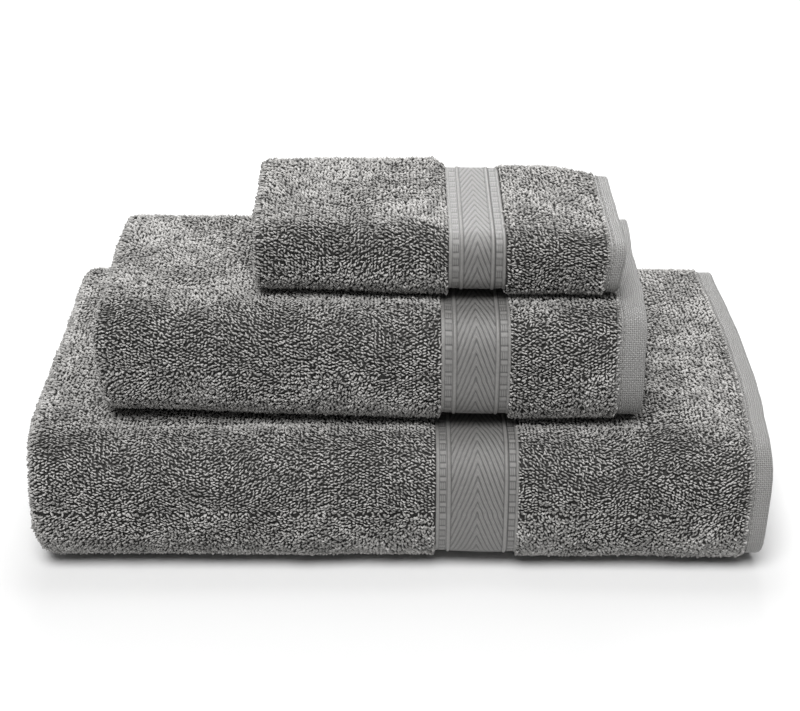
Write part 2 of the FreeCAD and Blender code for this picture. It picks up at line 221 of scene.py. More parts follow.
class Towel:
    """One towel's folds. The length is folded first, in plies stacked across X, in the given order from its
    hemmed end: ply 1 is the outermost. That stack, a quarter of the height thick, is then folded in four
    across Y. A place in the cloth is x, a path place from 0 to 7 (see fold) and a depth below the stack's
    outer face."""

    def __init__(self, name, order, lift, spread, skew, load, seed):
        self.name, self.order, self.seed, self.skew = name, order, seed, skew * MM
        self.lift, self.spread = np.multiply(lift, MM), np.multiply(spread, MM)
        field_low, field_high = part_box(f"{name}_field")
        border_low, border_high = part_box(f"{name}_dobby_border")
        hem_low, hem_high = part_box(f"{name}_end_hem")
        cords_low, cords_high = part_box(f"{name}_border_cords")
        self.left, self.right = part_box(f"{name}_left_fold")[0][0], hem_high[0]
        self.front, self.base = field_low[1], field_low[2]
        self.depth, self.height = field_high[1] - field_low[1], field_high[2] - field_low[2]
        self.border = (border_low[0], border_high[0])
        self.border_lengths = (self.right - self.border[1], self.right - self.border[0])
        self.panel = (cords_low[0], cords_high[0])
        self.border_recess, self.hem_recess = border_low[2] - self.base, hem_low[2] - self.base
        self.hem_start, self.hem_width = hem_low[0], self.right - hem_low[0]
        self.ply = self.height / 4 / len(order)
        self.load = self.footprint(load) if load else None
        self.places = np.linspace(0, LEGS, LEGS * LEG_STEPS + 1)
        self.lengths = self.lengths_at_depth(self.ply / 2)
        self.pile_from = float(self.place_at(self.length_at(FRONT_TURN) - PILE_UNDER))
        self.fine_route = self.route(2 * MM, 40)
        self.run_length, self.turns = self.turn_lengths()

    def footprint(self, name):
        """The X and Y, from this towel's front, where the towel of that name lies on it."""
        low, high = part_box(f"{name}_field")[0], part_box(f"{name}_end_hem")[1]
        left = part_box(f"{name}_left_fold")[0][0]
        return (left, low[1] - self.front), (high[0], high[1] - self.front)

    def fold(self, place, depth, free=0.0):
        """The folded width's curve at a depth, as Y from the front and Z from the base. The bottom runs
        forwards, the front turn is half a superellipse, the top runs back, and the back turn is a half
        circle of a quarter of the height. The hairpin inside it runs forwards, turns and runs back again.
        free is how far the two free edges stand short of the back."""
        half, quarter = self.height / 2, self.height / 4
        back = self.depth - quarter
        edge = self.depth - FREE_EDGE_INSET - free
        leg = np.clip(np.floor(place), 0, LEGS - 1)
        part = place - leg
        angle = math.pi * (part - 0.5)
        power = 2 / np.where(part < 0.5, BULLNOSE_BOTTOM, BULLNOSE_TOP)
        nose = np.abs(np.cos(angle)) ** power
        rise = np.sign(part - 0.5) * np.abs(np.sin(angle)) ** power
        legs = [leg == number for number in range(LEGS)]
        y = np.select(legs, [
            edge + (half - edge) * part,
            half - (half - depth) * nose,
            half + (back - half) * part,
            back + (quarter - depth) * np.cos(angle),
            back + (half - back) * part,
            half - depth * nose,
            half + (edge - half) * part,
        ])
        z = np.select(legs, [
            depth + 0 * part,
            half + (half - depth) * rise,
            self.height - depth + 0 * part,
            3 * quarter - (quarter - depth) * np.sin(angle),
            half + depth + 0 * part,
            half - depth * rise,
            half - depth + 0 * part,
        ])
        return y, z

    def lengths_at_depth(self, depth):
        """Lengths along the folded width at a depth, one for each of self.places."""
        return running_length(*self.fold(self.places, np.full(self.places.shape, depth)))

    def place_at(self, length):
        """The path place at a length along the folded width, in the middle of the outer ply."""
        return np.interp(length, self.lengths, self.places)

    def length_at(self, place):
        """The length along the folded width at a path place, the other way round."""
        return np.interp(place, self.places, self.lengths)

    def puffed(self, x, across):
        """How far the top rises where nothing lies on it: by the lift of its stretch, which is left of the
        border, the border, or the right end."""
        left, middle, right = self.lift
        lift = left + (middle - left) * step(x, self.border[0] - 7 * MM, self.border[0] + 2 * MM)
        return lift + (right - middle) * step(across, RIGHT_END, 1.0)

    def pressed(self, x, y):
        """1 where another towel lies on this one, 0 clear of it, with soft edges."""
        if not self.load:
            return np.zeros(x.shape)
        (low_x, low_y), (high_x, high_y) = self.load
        along = step(x, low_x - PRESS_FADE, low_x) * (1 - step(x, high_x, high_x + PRESS_FADE))
        from_front = step(y, low_y - 5 * MM, low_y + PRESS_FADE)
        return along * from_front * (1 - step(y, high_y, high_y + 12 * MM))

    def drawn_in(self, x, y, z):
        """How far the woven border draws up, which it does under the front fold only."""
        start, end = self.border
        within = step(x, start - MM, start + MM) * (1 - step(x, end - MM, end + MM))
        under = (1 - step(z, 0, 13 * MM)) * (1 - step(y, self.height * 0.25, self.height * 0.8))
        return BORDER_DRAW * within * under

    def settle(self, x, y, z):
        """How a soft bundle departs from the straight one. Where no towel presses on it, its top puffs up.
        Its ends spread above and tuck in at the base, the woven border draws in under the front fold, and
        slow waves run over every face. The front lies askew: its left end stands back and up by the skew,
        its right end forward and down. Puffing and the top's waves grow from none at the base."""
        across = (x - self.left) / (self.right - self.left)
        up, inside = np.clip(z / self.height, 0, 1), np.clip(y / self.depth, 0, 1)

        pressed = self.pressed(x, y)
        wave = 0.8 * smooth_noise(x + y * 0.4, y, 47 * MM, self.seed)
        wave = wave + 0.3 * smooth_noise(x, y, 19 * MM, self.seed + 1)
        higher = z + up * (self.puffed(x, across) * (1 - pressed) + wave * MM * (1 - 0.6 * pressed))
        higher = higher + self.drawn_in(x, y, z)
        higher = np.where(higher < FLAT, FLAT * np.exp(np.minimum(higher / FLAT, 1) - 1), higher)

        ahead = self.skew * (2 * step(across, 0, 0.7) - 1) * (1 - step(inside, 0, 0.45))
        higher = higher - SKEW_DROP * ahead * (1 - step(up, 0, 0.4))
        bulge = smooth_noise(x, z, 52 * MM, self.seed + 2) + 0.4 * smooth_noise(x, z, 21 * MM, self.seed + 3)
        further = y + bulge * MM * (1.2 - 0.2 * inside) - ahead

        at_left, at_right = 1 - step(across, 0, LEFT_END), step(across, RIGHT_END, 1)
        spread_left, spread_front, spread_right, spread_back = self.spread
        spread_right = spread_front + (spread_right - spread_front) * step(inside, 0, 0.35)
        spread_right = spread_right + (spread_back - spread_right) * step(inside, 0.5, 1)
        tuck = TUCK * (1 - step(up, 0, 0.16))
        spread_left = spread_left * (0.35 + 0.65 * step(inside, 0, 0.3)) * step(up, 0, 0.45)
        sideways = x + at_left * (1.4 * tuck - spread_left)
        sideways = sideways + at_right * (spread_right * step(up, 0.3, 0.9) - tuck)
        ends = 1.2 * smooth_noise(y, z, 44 * MM, self.seed + 4)
        ends = ends + 0.5 * smooth_noise(y, z, 13 * MM, self.seed + 5)
        return sideways + ends * MM * (at_left + 0.6 * at_right), further, higher

    def point(self, x, place, depth, free=0.0):
        """Places in the cloth as points of the row frame."""
        x, place, depth = np.broadcast_arrays(x, place, depth)
        y, z = self.fold(place, depth, free)
        x, y, z = self.settle(x, y, z)
        return np.stack([x, y + self.front, z + self.base], axis=-1)

    def stations(self, start, end, spacing):
        """Places along X from start to end, evenly spaced, with more at the border's and the hem's edges."""
        low, high = min(start, end), max(start, end)
        even = np.linspace(low, high, int((high - low) / spacing) + 2)
        edges = np.array([*self.border, self.hem_start, self.right - 1.5 * MM])
        close = (edges[:, None] + np.array([-1.2, 0.0, 1.2]) * MM).ravel()
        close = close[(close > low + 0.4 * MM) & (close < high - 0.4 * MM)]
        places = np.unique(np.concatenate([even, close]))
        return places if start < end else places[::-1]

    def route(self, spacing, per_turn):
        """The cloth's length through its plies: x, depth, its face's direction in x and in depth, and the
        length so far. Runs are level, and turns between plies are half circles."""
        inner = [abs(b - a) / 2 for a, b in zip(self.order[:-1:2], self.order[1::2])]
        left = self.left + (max(inner) + 0.5) * self.ply
        right = self.right - RIGHT_FOLD_INSET - self.ply
        x, depth, face_x, face_depth = [], [], [], []
        out = -1
        for number, ply in enumerate(self.order):
            leftwards = number % 2 == 0
            last = number == len(self.order) - 1
            if leftwards:
                start, end = (self.right if number == 0 else right), left
            else:
                start, end = left, (self.right - SECOND_HEM_INSET if last else right)
            run = self.stations(start, end, spacing)
            x.append(run)
            depth.append(np.full(run.shape, (ply - 0.5) * self.ply))
            face_x.append(np.zeros(run.shape))
            face_depth.append(np.full(run.shape, float(out)))
            if last:
                break
            after = self.order[number + 1]
            radius, middle = abs(after - ply) / 2 * self.ply, (after + ply - 1) / 2 * self.ply
            turn = np.linspace(-math.pi / 2, math.pi / 2, per_turn + 2)[1:-1] * (1 if after > ply else -1)
            side = -1 if leftwards else 1
            outside = 1 if (after > ply) == (out < 0) else -1
            x.append(end + side * radius * np.cos(turn))
            depth.append(middle + radius * np.sin(turn))
            face_x.append(outside * side * np.cos(turn))
            face_depth.append(outside * np.sin(turn))
            out = -out
        x, depth = np.concatenate(x), np.concatenate(depth)
        return x, depth, np.concatenate(face_x), np.concatenate(face_depth), running_length(x, depth)

    def turn_lengths(self):
        """The length at which the outer ply ends, and where each turn between plies starts and ends."""
        depth, length = self.fine_route[1], self.fine_route[4]
        level = np.abs(np.diff(depth)) < 1e-9
        starts = np.flatnonzero(level[:-1] & ~level[1:]) + 1
        ends = np.flatnonzero(~level[:-1] & level[1:]) + 1
        turns = [(float(length[a]), float(length[b])) for a, b in zip(starts, ends)]
        return float(length[np.argmin(level)]), turns


# ---------------- the cloth and its terry loops

def leg_places(counts):
    """Path places for a grid: so many steps in each leg."""
    parts = [leg + np.arange(count) / count for leg, count in enumerate(counts)]
    return np.concatenate([*parts, [LEGS]])


def cloth_places(towel, counts):
    """Path places of the cloth's grid, with more near its two long edges and where their hems end."""
    edge = np.array([0.15, 0.5, 1.0, 1.6]) * MM
    close = np.concatenate([edge, SIDE_HEM + np.array([-1.2, -0.4, 0.4, 1.2]) * MM])
    from_end = towel.place_at(towel.lengths[-1] - close)
    return np.unique(np.concatenate([leg_places(counts), towel.place_at(close), from_end]))


def free_edge(towel, x, depth):
    """How far the free long edges stand short of the back, unevenly from ply to ply and along them."""
    return FREE_EDGE_WANDER * (1 + smooth_noise(depth / towel.ply * 1.3, x * 12, 1.0, towel.seed + 9))


def make_cloth(towel, counts, spacing, materials):
    """The whole towel as one closed folded sheet. Its two faces stand off the middle of the ply: by nearly
    half a ply, by less in the hems, and on the outside only up to the ground that the loops stand on."""
    x, depth, face_x, face_depth, length = towel.route(spacing, 9)
    place = cloth_places(towel, counts)
    path = towel.length_at(place)
    x, depth, face_x, face_depth = (row[:, None] for row in (x, depth, face_x, face_depth))
    path, place = path[None, :], place[None, :]
    to_end = np.minimum(length, length[-1] - length)[:, None]
    to_side = np.minimum(path, path[..., -1:] - path)
    past_hem = step(to_end, towel.hem_width - 0.6 * MM, towel.hem_width + 0.6 * MM)
    in_hem = 1 - past_hem * step(to_side, SIDE_HEM - MM, SIDE_HEM + MM)
    start, end = towel.border_lengths
    in_border = step(length, start, start + MM)[:, None] * (1 - step(length, end - MM, end))[:, None]
    off_edge = np.clip(np.minimum(to_end, to_side) / EDGE_ROUNDING, 0, 1)
    rounding = np.sqrt(np.clip(1 - (1 - off_edge) ** 2, 0.02, 1))
    thick = towel.ply * HALF_PLY * (1 - HEM_THINNING * in_hem)
    ground = towel.ply / 2 - PILE - GROUND_UNDER_BORDER * in_border - GROUND_UNDER_HEM * in_hem
    outside = pile_cover(towel, length[:, None], place)
    face = (thick * (1 - outside) + ground * outside) * rounding
    back = thick * rounding
    free = free_edge(towel, x, depth)
    fronts = towel.point(x + face * face_x, place, depth + face * face_depth, free)
    backs = towel.point(x - back * face_x, place, depth - back * face_depth, free)
    points, faces = slab(fronts, backs)
    uv = np.stack(np.broadcast_arrays(length[:, None], path), axis=-1).reshape(-1, 2)
    hemmed = np.broadcast_to(in_hem, fronts.shape[:2]).ravel() > 0.5
    hemmed = np.concatenate([hemmed, hemmed])
    slots = hemmed[faces[0]].all(axis=1).astype(int)
    cover = np.broadcast_to(outside, fronts.shape[:2]).ravel()
    # the cover mark also paints shade on the ground between the loops, in terry_ground
    marks = {"cover": np.concatenate([cover, 0 * cover])}
    return make_mesh(f"{towel.name}_cloth", points, faces, materials, slots, np.concatenate([uv, uv]), marks)


def pile_cover(towel, length, place):
    """1 where loops of their own stand on the cloth's outer face, 0 where they don't, from the length along
    the towel and the path place. They cover what shows: the front, top and upper back of the outermost
    ply, the left fold, and the right fold. Each patch fades out over a few millimetres."""
    run, turn_end = towel.run_length, towel.turns[0][1]
    shows = step(place, towel.pile_from - 0.03, towel.pile_from) * (1 - step(place, HAIRPIN, HAIRPIN + 0.05))
    outer = (1 - step(length, run + 1 * MM, run + 2 * MM)) * shows
    fold = step(length, run - 6 * MM, run) * (1 - step(length, turn_end - 3 * MM, turn_end))
    cover = np.maximum(outer, fold * np.maximum(shows, step(length, run + 1 * MM, run + 3 * MM)))
    if len(towel.turns) > 1:
        start, end = towel.turns[1]
        right = step(length, start - 4 * MM, start - 2 * MM) * (1 - step(length, end + 2 * MM, end + 4 * MM))
        cover = np.maximum(cover, right)
    return cover


# A terry loop: its middle line rises from one foot, over a crown and down to the other, wider at half height.
# The feet are so far along, as shares of the span. A ring is how far along, how far up, and the direction of
# the line there.
LOOP_FEET = (-0.34, 0.34)
LOOP_RINGS = ((-0.47, 0.62, 0.45, 0.9), (0.0, 1.0, 1.0, 0.0), (0.47, 0.62, 0.45, -0.9))
RING_ANGLES = (math.pi / 2, math.pi * 7 / 6, math.pi * 11 / 6)
LOOP_POINTS, LOOP_TRIANGLES = 11, 18


def loop_shape(span, rise, yarn):
    """The points of loops as (along, across, up), from arrays of their spans and heights: a foot, rings of
    three points about the middle line, and the other foot."""
    points = [[span * LOOP_FEET[0], 0 * span, 0 * rise]]
    for along, up, tangent_along, tangent_up in LOOP_RINGS:
        norm = math.hypot(tangent_along, tangent_up)
        for angle in RING_ANGLES:
            out, aside = yarn * math.sin(angle), yarn * math.cos(angle)
            points.append([
                span * along - out * tangent_up / norm,
                aside + 0 * span,
                rise * up + out * tangent_along / norm,
            ])
    points.append([span * LOOP_FEET[1], 0 * span, 0 * rise])
    return np.stack([np.stack(np.broadcast_arrays(*point), axis=-1) for point in points], axis=1)


def loop_faces(count):
    """The triangles of so many loops: a fan at each foot and three sides between neighbouring rings."""
    faces = [[0, 1 + k, 1 + (k + 1) % 3] for k in range(3)]
    for ring in range(2):
        for k in range(3):
            a, b = 1 + 3 * ring + k, 1 + 3 * ring + (k + 1) % 3
            faces += [[a, a + 3, b], [b, a + 3, b + 3]]
    faces += [[10, 7 + (k + 1) % 3, 7 + k] for k in range(3)]
    return (np.arange(count)[:, None, None] * LOOP_POINTS + np.array(faces)).reshape(-1, 3)


def at_length(towel, length, place, rise):
    """Points at a height above the ground cloth, from the length along the towel and the path place."""
    along = towel.fine_route[4]
    x, depth, face_x, face_depth = (np.interp(length, along, row) for row in towel.fine_route[:4])
    up = towel.ply / 2 - PILE + rise
    return towel.point(x + up * face_x, place, depth + up * face_depth)


def scatter_loops(towel):
    """Where loops could stand: a staggered lattice with a little jitter, evenly spaced along the loops' tips.
    Returns each loop's length and path, the number of its row's depth, and the path lengths at each depth."""
    rng = np.random.default_rng(towel.seed + 20)
    margin = 6 * MM
    rows = np.arange(0, towel.turns[-1][1] + 4 * MM, LOOP_PITCH)
    rows = rows[pile_cover(towel, rows, np.full(rows.shape, MID_TOP)) > 0.5]
    _, depth, _, face_depth, along = towel.fine_route
    tips = np.interp(rows, along, depth) + towel.ply / 2 * np.interp(rows, along, face_depth)
    depths, group = np.unique(np.round(tips, 5), return_inverse=True)
    tables = [towel.lengths_at_depth(max(level, 0)) for level in depths]
    ends = np.array([table[-1] for table in tables])[group]
    picks = np.arange(margin, ends.max() - margin, PITCH_ACROSS)
    length, path = np.meshgrid(rows, picks, indexing="ij")
    path = path + (np.arange(len(rows)) % 2)[:, None] * (PITCH_ACROSS / 2)
    length = length + rng.normal(0, LOOP_JITTER, length.shape) * LOOP_PITCH
    path = path + rng.normal(0, LOOP_JITTER, length.shape) * LOOP_PITCH
    fits = path < ends[:, None] - margin
    return length[fits], path[fits], np.broadcast_to(group[:, None], path.shape)[fits], tables


def places_of(towel, path, group, tables):
    """The path places of lengths measured at each row's own depth."""
    place = np.empty(path.shape)
    for number, table in enumerate(tables):
        own = group == number
        place[own] = np.interp(path[own], table, towel.places)
    return place


def loop_leans(towel, rng, length, patch):
    """How far each loop's crown leans along and across: about the same way within a patch, and over the edge
    beside the hem and the border."""
    count = len(length)
    angle = math.pi * patch + rng.normal(0, 0.8, count)
    lean = (LEAST_LEAN + MORE_LEAN * rng.random(count)) * MM
    along, across = lean * np.cos(angle), lean * np.sin(angle)
    start, end = towel.border_lengths
    for edge, side in ((towel.hem_width, -1), (start, 1), (end, -1)):
        near = 1 - step(np.abs(length - edge), 0.6 * MM, 1.8 * MM)
        near = near * ((length > edge) if side < 0 else (length < edge))
        along = along * (1 - near) + side * near * (EDGE_LEAN * rng.random(count)) * MM
    return along, across


def make_loops(towel, materials):
    """The terry loops of one towel as pieces of at most LOOPS_IN_PIECE loops. They stand where pile_cover
    says, outside the border and the hem. Patches of them share a direction, a lean and a tone of yarn."""
    length, path, group, tables = scatter_loops(towel)
    place = places_of(towel, path, group, tables)
    start, end = towel.border_lengths
    standing = pile_cover(towel, length, place) > 0.5
    standing &= (length > towel.hem_width) & ((length < start - EDGE_CLEAR) | (length > end + EDGE_CLEAR))
    length, path, group = length[standing], path[standing], group[standing]
    rng = np.random.default_rng(towel.seed + 30)
    count = len(length)
    patch = smooth_noise(length, path, 17 * MM, towel.seed + 31)
    lean_patch = smooth_noise(length, path, 23 * MM, towel.seed + 32)
    angle = 0.8 * patch + rng.normal(0, 0.5, count)
    lean_along, lean_across = loop_leans(towel, rng, length, lean_patch)
    span = (SPAN + SPAN_SPREAD * rng.normal(0, 1, count)) * MM
    rise = PILE * (RISE + RISE_SPREAD * rng.normal(0, 1, count) + 0.1 * patch)
    shape = loop_shape(span, rise, YARN)
    turn_cos, turn_sin = np.cos(angle)[:, None], np.sin(angle)[:, None]
    share = np.clip(shape[..., 2] / rise[:, None], 0, 1.2)
    along = shape[..., 0] * turn_cos - shape[..., 1] * turn_sin + share * lean_along[:, None]
    across = shape[..., 0] * turn_sin + shape[..., 1] * turn_cos + share * lean_across[:, None]
    place = places_of(towel, path[:, None] + across, group, tables)
    points = at_length(towel, length[:, None] + along, place, shape[..., 2])
    tone = 0.9 * smooth_noise(length, path, 6 * MM, towel.seed + 33) + rng.normal(0, 0.6, count)
    slots = np.digitize(tone, (-0.45, 0.5))
    pieces = []
    parts = np.array_split(np.arange(count), math.ceil(count / LOOPS_IN_PIECE))
    for number, part in enumerate(parts, start=1):
        pieces.append(make_mesh(
            f"{towel.name}_loops_{number}",
            points[part].reshape(-1, 3),
            [loop_faces(len(part))],
            materials,
            np.repeat(slots[part], LOOP_TRIANGLES),
        ))
    return pieces


# ---------------- woven border, hems and stitches

def ridge(x, middle, width):
    """A round cord's height, from 0 at its edges to 1 in its middle."""
    return np.sqrt(1 - np.clip(np.abs(x - middle) / (width / 2), 0, 1) ** 2)


def crease(x, middle, width):
    """A narrow groove's depth, 1 in its middle, a bell curve across."""
    return np.exp(-((x - middle) / width) ** 2)


def herringbone(off, path, half_width):
    """The panel's height and how deep in a groove, from the distance off its middle line: flat ribs that
    climb to that line at CHEVRON_SLOPE, with a narrow groove between them and fine twill on them."""
    phase = (path + CHEVRON_SLOPE * off) / CHEVRON_PITCH
    part = phase - np.floor(phase) - 0.5
    twill = np.sin(2 * math.pi * (path - TWILL_SLOPE * off) / TWILL_PITCH)
    in_panel = 1 - step(off, half_width - 0.4 * MM, half_width)
    line = crease(part, 0, 0.12)
    rise = in_panel * (0.3 * (1 - line) + 0.07 * twill * (1 - line)) * MM
    return rise, in_panel * (line + 0.24 * (1 - twill) * (1 - line))


def block_strip(x, path, low, high):
    """The height and depth of grooves in a strip of blocks: each has upright ribs in a frame of grooves, and
    there is plain cloth between them."""
    inside = step(x, low, low + 0.3 * MM) * (1 - step(x, high - 0.3 * MM, high))
    part = path / BLOCK_PITCH - np.floor(path / BLOCK_PITCH)
    block = step(part, 0.2, 0.26) * (1 - step(part, 0.74, 0.8))
    ribs = 0.5 + 0.5 * np.cos(2 * math.pi * (x - low) / BLOCK_RIB)
    frame_lines = crease(np.abs(part - 0.5), 0.29, 0.05)
    rise = inside * (0.22 * block * (1 - 0.6 * ribs) + 0.1 * (1 - block) - 0.12 * frame_lines) * MM
    return rise, inside * (0.9 * block * ribs**2 + frame_lines)


def border_relief(towel, x, path):
    """Height above the border's ground, and how deep in a groove, which the dobby material paints as shade,
    from X and the length along the path. A herringbone panel has a round cord on each side, then a strip of
    blocks. A small cord runs along the edge towards the hem."""
    start, end = towel.border
    panel_start, panel_end = towel.panel
    off = np.abs(x - (panel_start + panel_end) / 2)
    rise, groove = herringbone(off, path, (panel_end - panel_start) / 2 - CORD_WIDTH)
    for middle in (panel_start + CORD_WIDTH / 2, panel_end - CORD_WIDTH / 2):
        rise = rise + CORD_RISE * ridge(x, middle, CORD_WIDTH)
        groove = groove + 0.9 * crease(np.abs(x - middle), CORD_WIDTH * 0.55, GROOVE)
    gap = 0.3 * MM
    for low, high in ((start + LEFT_MARGIN, panel_start - gap), (panel_end + gap, end - RIGHT_MARGIN)):
        strip_rise, strip_groove = block_strip(x, path, low, high)
        rise = rise + strip_rise
        groove = groove + strip_groove
        groove = groove + 0.8 * crease(x, low, GROOVE)
    rise = rise + EDGE_CORD_RISE * ridge(x, end - RIGHT_MARGIN / 2, EDGE_CORD_WIDTH)
    groove = groove + 0.8 * crease(x, end - RIGHT_MARGIN, GROOVE)
    return rise, np.clip(groove, 0, 1)


def make_border(towel, materials):
    """The woven border as a closed strip: the relief on top, a flat underside, carried along the path."""
    start, end = towel.border
    across = np.linspace(start, end, int((end - start) / BORDER_GRID[0]) + 1)
    shown_from, shown_to = towel.length_at(towel.pile_from), towel.length_at(HAIRPIN)
    under = np.linspace(2 * MM, shown_from, BORDER_ROWS_UNDER)[:-1]
    path = np.concatenate([under, np.arange(shown_from, shown_to, BORDER_GRID[1])])
    x, along = np.meshgrid(across, path)
    rise, groove = border_relief(towel, x, along)
    top = towel.point(x, towel.place_at(along), towel.border_recess - rise)
    corner_x = np.broadcast_to(np.array([end, start]), (len(path), 2))
    under_depth = np.full(corner_x.shape, towel.border_recess + BORDER_THICKNESS)
    low = towel.point(corner_x, towel.place_at(along[:, :2]), under_depth)
    points, faces = swept(np.concatenate([top, low], axis=1))
    all_x = np.concatenate([x, corner_x], axis=1)
    uv = np.stack([all_x, np.broadcast_to(path[:, None], all_x.shape)], axis=-1)
    uv = np.concatenate([uv.reshape(-1, 2), uv[[0, -1], 0]])
    groove = np.concatenate([groove, 0 * corner_x], axis=1).ravel()
    # the groove mark paints shade into the border's grooves, in the dobby material
    marks = {"groove": np.concatenate([groove, [0, 0]])}
    return make_mesh(f"{towel.name}_border", points, faces, materials, uv=uv, marks=marks)


def make_hem(towel, name, end, middle, materials):
    """A flat rolled hem as a closed strip round the whole folded width: flat faces, a round outer edge."""
    start = towel.hem_start - HEM_TUCK
    half = HEM_THICKNESS / 2
    flat = np.linspace(start, end - half, 10)
    turn = np.linspace(-math.pi / 2, math.pi / 2, 7)[1:-1]
    ring_x = np.concatenate([flat, end - half + half * np.cos(turn), flat[::-1]])
    face = np.full(flat.shape, half)
    ring_depth = middle + np.concatenate([-face, half * np.sin(turn), face])
    line = crease(ring_x, end - HEM_LINE, HEM_LINE_WIDTH) * np.sign(ring_depth - middle)
    ring_depth = ring_depth - HEM_LINE_DEPTH * line
    path = np.arange(3 * MM, towel.lengths[-1] - 3 * MM, 1.4 * MM)
    x, along = np.meshgrid(ring_x, path)
    depth = np.broadcast_to(ring_depth, x.shape)
    points, faces = swept(towel.point(x, towel.place_at(along), depth))
    roll = running_length(ring_x, ring_depth)
    uv = np.stack([np.broadcast_to(roll, x.shape), along], axis=-1).reshape(-1, 2)
    uv = np.concatenate([uv, uv[:1], uv[-1:]])
    return make_mesh(name, points, faces, materials, uv=uv)


def make_stitches(towel, materials):
    """The row of lockstitches along the hem: short threads that rise from the cloth and dip back into it."""
    path = np.arange(towel.length_at(towel.pile_from), towel.length_at(HAIRPIN), STITCH_PITCH)
    span, rise = np.full(path.shape, STITCH_PITCH * 1.1), np.full(path.shape, STITCH_RISE)
    shape = loop_shape(span, rise, THREAD)
    x = towel.hem_start + STITCH_LINE + shape[..., 1]
    depth = towel.hem_recess - shape[..., 2]
    points = towel.point(x, towel.place_at(path[:, None] + shape[..., 0]), depth)
    return make_mesh(f"{towel.name}_stitches", points.reshape(-1, 3), [loop_faces(len(path))], materials)


# ---------------- materials

def math_node(tree, operation, *values):
    """Adds a Math node with these sockets or numbers as its inputs, and returns its output."""
    node = tree.nodes.new("ShaderNodeMath")
    node.operation = operation
    for socket, value in zip(node.inputs, values):
        if isinstance(value, (int, float)):
            socket.default_value = value
        else:
            tree.links.new(value, socket)
    return node.outputs[0]


def new_group(name, inputs, outputs):
    """An empty shader node group with these float or vector sockets. Returns it and its input's sockets."""
    group = bpy.data.node_groups.new(name, "ShaderNodeTree")
    for socket, kind in inputs.items():
        group.interface.new_socket(socket, in_out="INPUT", socket_type=kind)
    for socket in outputs:
        group.interface.new_socket(socket, in_out="OUTPUT", socket_type="NodeSocketFloat")
    return group, group.nodes.new("NodeGroupInput").outputs


def close_group(group, **results):
    """Joins results to the group's outputs by name."""
    out = group.nodes.new("NodeGroupOutput")
    for name, socket in results.items():
        group.links.new(socket, out.inputs[name])
    return group


def weave_group():
    """A basket weave: warp and weft are rows of round threads, and which of the two lies on top changes like
    a chessboard. Height is the upper thread's round, and Gap is 1 in the holes where four threads meet."""
    number = "NodeSocketFloat"
    inputs = {"Place": "NodeSocketVector", "Threads Along": number, "Threads Across": number}
    group, given = new_group("basket_weave", inputs, ("Height", "Gap"))
    parts = group.nodes.new("ShaderNodeSeparateXYZ")
    group.links.new(given["Place"], parts.inputs[0])

    def thread_wave(length, threads):
        """A wave with a hump for each thread, up and down by turns."""
        count = math_node(group, "MULTIPLY", length, given[threads])
        return math_node(group, "SINE", math_node(group, "MULTIPLY", count, math.pi))

    wave_across = thread_wave(parts.outputs[0], "Threads Across")
    wave_along = thread_wave(parts.outputs[1], "Threads Along")
    both = math_node(group, "MULTIPLY", wave_across, wave_along)
    over = math_node(group, "MULTIPLY", both, 0.45)
    warp, weft = math_node(group, "ABSOLUTE", wave_across), math_node(group, "ABSOLUTE", wave_along)
    warp_top = math_node(group, "MULTIPLY", warp, math_node(group, "ADD", over, 0.55))
    weft_top = math_node(group, "MULTIPLY", weft, math_node(group, "SUBTRACT", 0.55, over))
    height = math_node(group, "MAXIMUM", warp_top, weft_top)
    gap = math_node(group, "SUBTRACT", 1.0, math_node(group, "MAXIMUM", warp, weft))
    return close_group(group, Height=height, Gap=gap)


def mottle_group():
    """Uneven yarn: noise with finer detail, centred on 1, by which a colour is multiplied."""
    inputs = {"Place": "NodeSocketVector", "Scale": "NodeSocketFloat", "Amount": "NodeSocketFloat"}
    group, given = new_group("yarn_mottle", inputs, ("Factor",))
    noise = group.nodes.new("ShaderNodeTexNoise")
    noise.inputs["Detail"].default_value = 3
    noise.inputs["Roughness"].default_value = 0.65
    group.links.new(given["Place"], noise.inputs["Vector"])
    group.links.new(given["Scale"], noise.inputs["Scale"])
    centred = math_node(group, "MULTIPLY", math_node(group, "SUBTRACT", noise.outputs[0], 0.5), 2.0)
    scaled = math_node(group, "MULTIPLY", centred, given["Amount"])
    return close_group(group, Factor=math_node(group, "ADD", scaled, 1.0))


def place_group(tree, group, place, **values):
    """A group's node in a material, with its Place linked and its other inputs set."""
    node = tree.nodes.new("ShaderNodeGroup")
    node.node_tree = group
    tree.links.new(place, node.inputs["Place"])
    for name, value in values.items():
        node.inputs[name.replace("_", " ")].default_value = value
    return node.outputs


def fabric(name, colour, sheen=0.0, roughness=0.93, specular=0.15):
    """A cotton, matt unless told otherwise: its material, its nodes and its shader."""
    material = bpy.data.materials.new(name)
    material.use_nodes = True
    shader = material.node_tree.nodes["Principled BSDF"]
    shader.inputs["Base Color"].default_value = (*colour, 1)
    shader.inputs["Roughness"].default_value = roughness
    shader.inputs["Specular IOR Level"].default_value = specular
    shader.inputs["Sheen Weight"].default_value = sheen
    shader.inputs["Sheen Roughness"].default_value = 0.5
    return material, material.node_tree, shader


def tint(tree, shader, colour, dark, shade, factor):
    """Base Color goes from colour towards dark, the painted shade colour, by the mask shade, then is
    multiplied by factor.
    """
    mix = tree.nodes.new("ShaderNodeMix")
    mix.data_type = "RGBA"
    colour_a, colour_b, result = mix.inputs[6], mix.inputs[7], mix.outputs[2]
    colour_a.default_value = (*colour, 1)
    colour_b.default_value = (*dark, 1)
    tree.links.new(shade, mix.inputs[0])
    scale = tree.nodes.new("ShaderNodeVectorMath")
    scale.operation = "SCALE"
    tree.links.new(result, scale.inputs[0])
    tree.links.new(factor, scale.inputs["Scale"])
    tree.links.new(scale.outputs[0], shader.inputs["Base Color"])


